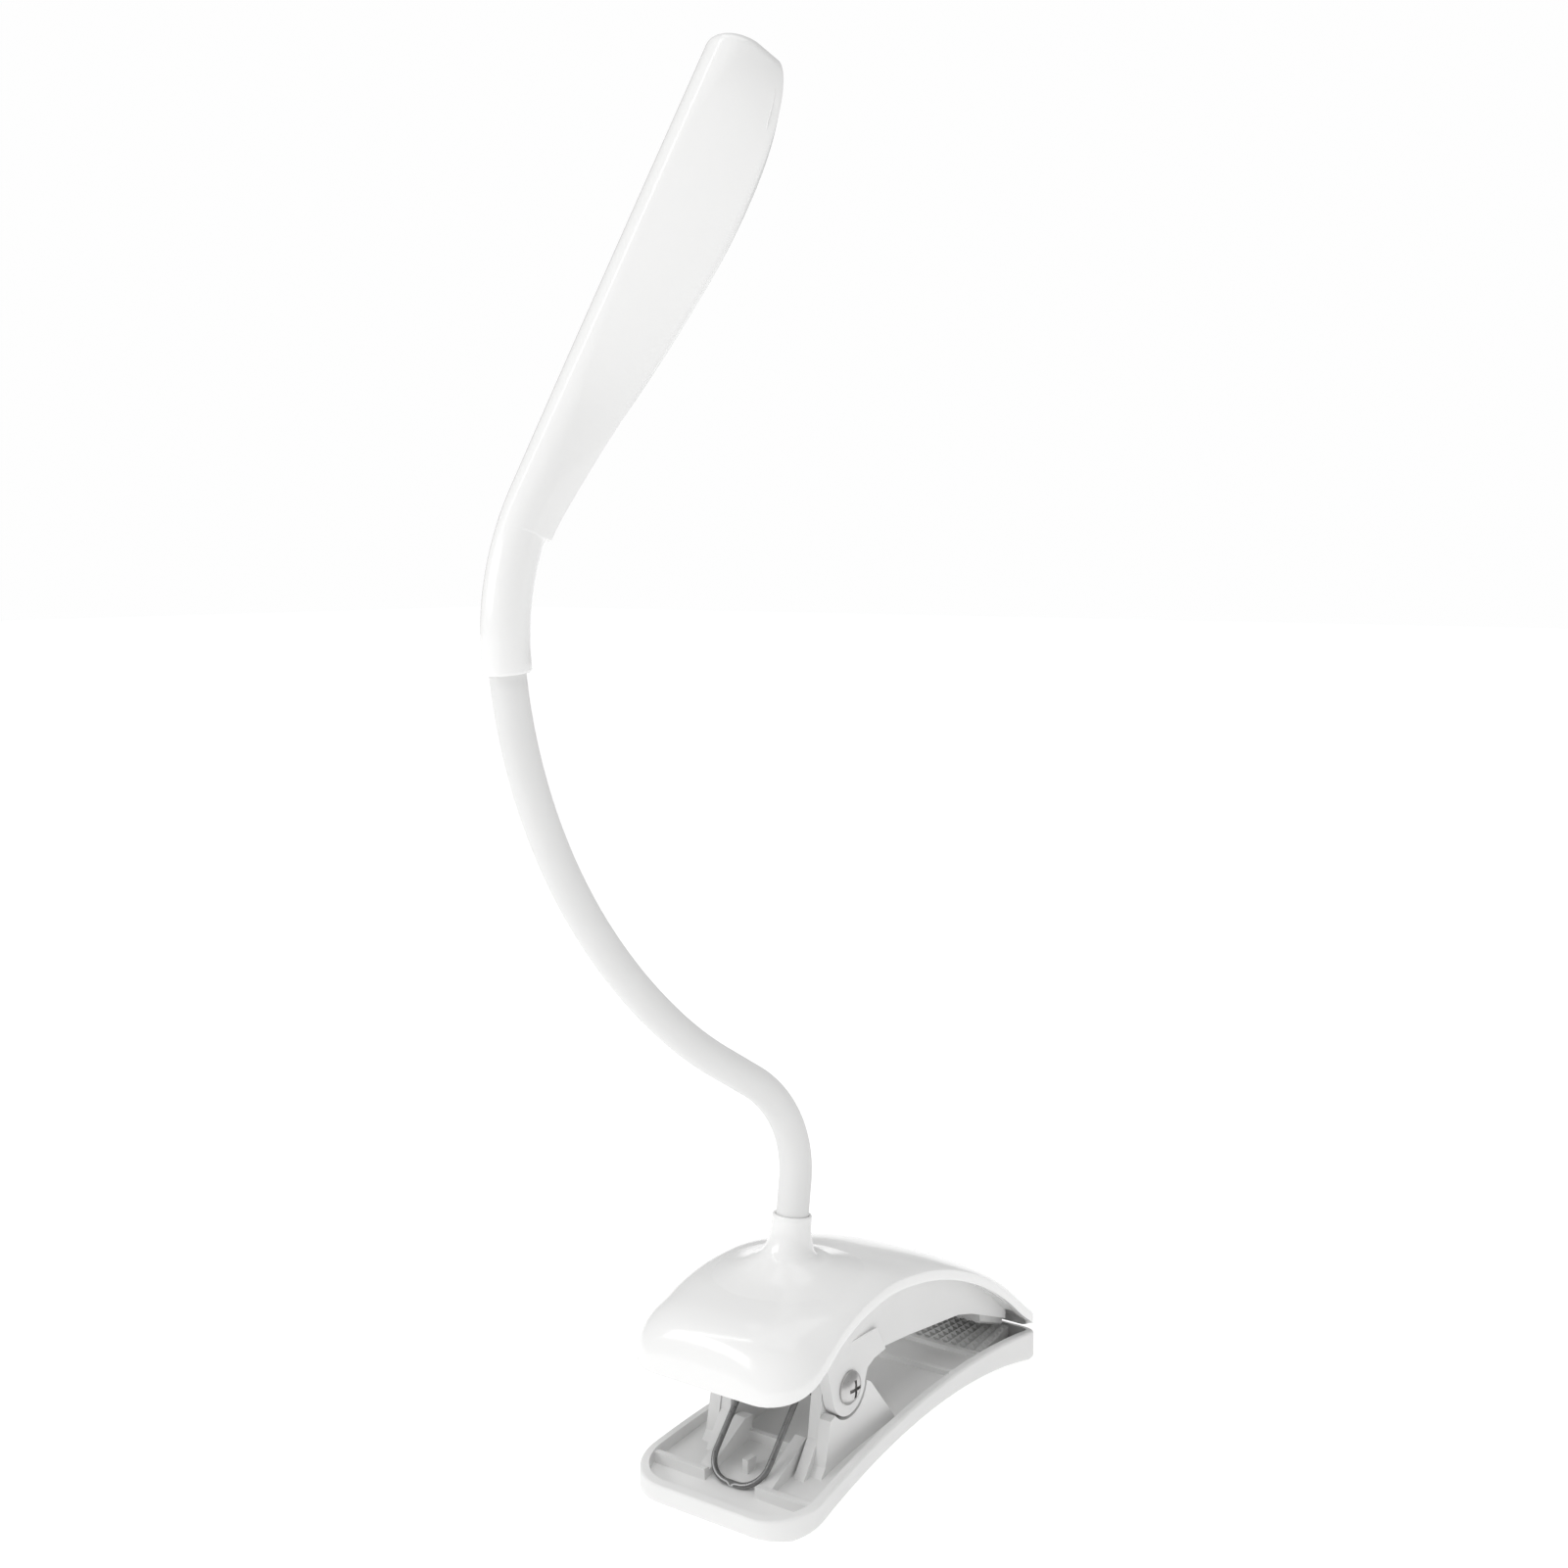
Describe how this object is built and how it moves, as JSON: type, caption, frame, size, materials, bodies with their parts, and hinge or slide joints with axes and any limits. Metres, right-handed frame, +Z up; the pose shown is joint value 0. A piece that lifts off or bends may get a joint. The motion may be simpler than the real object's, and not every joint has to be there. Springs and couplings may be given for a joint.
{
  "type": "clip-on reading lamp",
  "caption": "Clip-on reading lamp: sprung clip with curved jaws and grip pads, bendable gooseneck and a slim leaf-shaped head with a flat light panel.",
  "frame": {"origin": "on the plane that the clip's two feet stand on, straight below the clip's hinge", "axes": "+X along the clip to the jaw tips, +Z up, +Y across the clip to the left of someone looking towards the tips"},
  "size_m": [0.1737, 0.0541, 0.3414],
  "materials": {
    "gloss_white": "glossy",
    "matte_white": "satin",
    "neck_sleeve": "soft matt",
    "grip_pad": "matt, small pyramids",
    "screw_steel": "dark plated",
    "spring_steel": "dark drawn wire",
    "plain_steel": "plain",
    "nut_brass": "plain",
    "cell_wrap": "shrink wrap",
    "circuit_board": "white solder mask",
    "diffuser": "frosted",
    "touch_grey": "satin",
    "led_yellow": "phosphor dot",
    "wire_red": "soft insulation"
  },
  "bodies": {
    "lower_jaw": {"lower_jaw": "matte_white", "lower_pad": "grip_pad", "axle_tube": "plain_steel", "hinge_screws": "screw_steel", "clip_spring": "spring_steel"},
    "upper_jaw": {"top_cover": "gloss_white", "jaw_housing": "matte_white", "upper_pad": "grip_pad", "housing_screws": "screw_steel", "battery_cell": "cell_wrap", "charge_board": "circuit_board", "usb_socket": "plain_steel", "neck_nut": "nut_brass", "sleeve_0": "neck_sleeve", "hose_0": "plain_steel", "wires_0": "wire_red"},
    "neck_1": {"sleeve_1": "neck_sleeve", "hose_1": "plain_steel", "wires_1": "wire_red"},
    "neck_2": {"sleeve_2": "neck_sleeve", "hose_2": "plain_steel", "wires_2": "wire_red"},
    "neck_3": {"sleeve_3": "neck_sleeve", "hose_3": "plain_steel", "wires_3": "wire_red"},
    "neck_4": {"sleeve_4": "neck_sleeve", "hose_4": "plain_steel", "wires_4": "wire_red"},
    "head": {"sleeve_5": "neck_sleeve", "hose_5": "plain_steel", "wires_5": "wire_red", "head_shell": "gloss_white", "front_frame": "gloss_white", "diffuser": "diffuser", "touch_pad": "touch_grey", "led_board": "circuit_board", "leds": "led_yellow", "board_screws": "screw_steel"}
  },
  "joints": [
    {"name": "clip_hinge", "type": "hinge", "parent": "lower_jaw", "child": "upper_jaw", "pos_m": [0, 0, 0.025], "axis": [0, -1, 0], "range_deg": [0, 32], "stiffness_Nm_per_rad": 1.2, "springref_deg": -45.84, "deforming": ["clip_spring"]},
    {"name": "neck_bend_1", "type": "hinge", "parent": "upper_jaw", "child": "neck_1", "pos_m": [0.00238, -0.00027, 0.07295], "axis": [0.2924, 0.9563, 0], "range_deg": [-22, 22]},
    {"name": "neck_sway_2", "type": "hinge", "parent": "neck_1", "child": "neck_2", "pos_m": [-0.01481, 0.00499, 0.10226], "axis": [0.5208, -0.1592, 0.8387], "range_deg": [-22, 22]},
    {"name": "neck_bend_3", "type": "hinge", "parent": "neck_2", "child": "neck_3", "pos_m": [-0.04122, 0.01306, 0.12589], "axis": [0.2924, 0.9563, 0], "range_deg": [-22, 22]},
    {"name": "neck_sway_4", "type": "hinge", "parent": "neck_3", "child": "neck_4", "pos_m": [-0.06007, 0.01882, 0.15647], "axis": [0.868, -0.2654, 0.4196], "range_deg": [-22, 22]},
    {"name": "neck_bend_5", "type": "hinge", "parent": "neck_4", "child": "head", "pos_m": [-0.07014, 0.0219, 0.1913], "axis": [0.2924, 0.9563, 0], "range_deg": [-22, 22]}
  ]
}
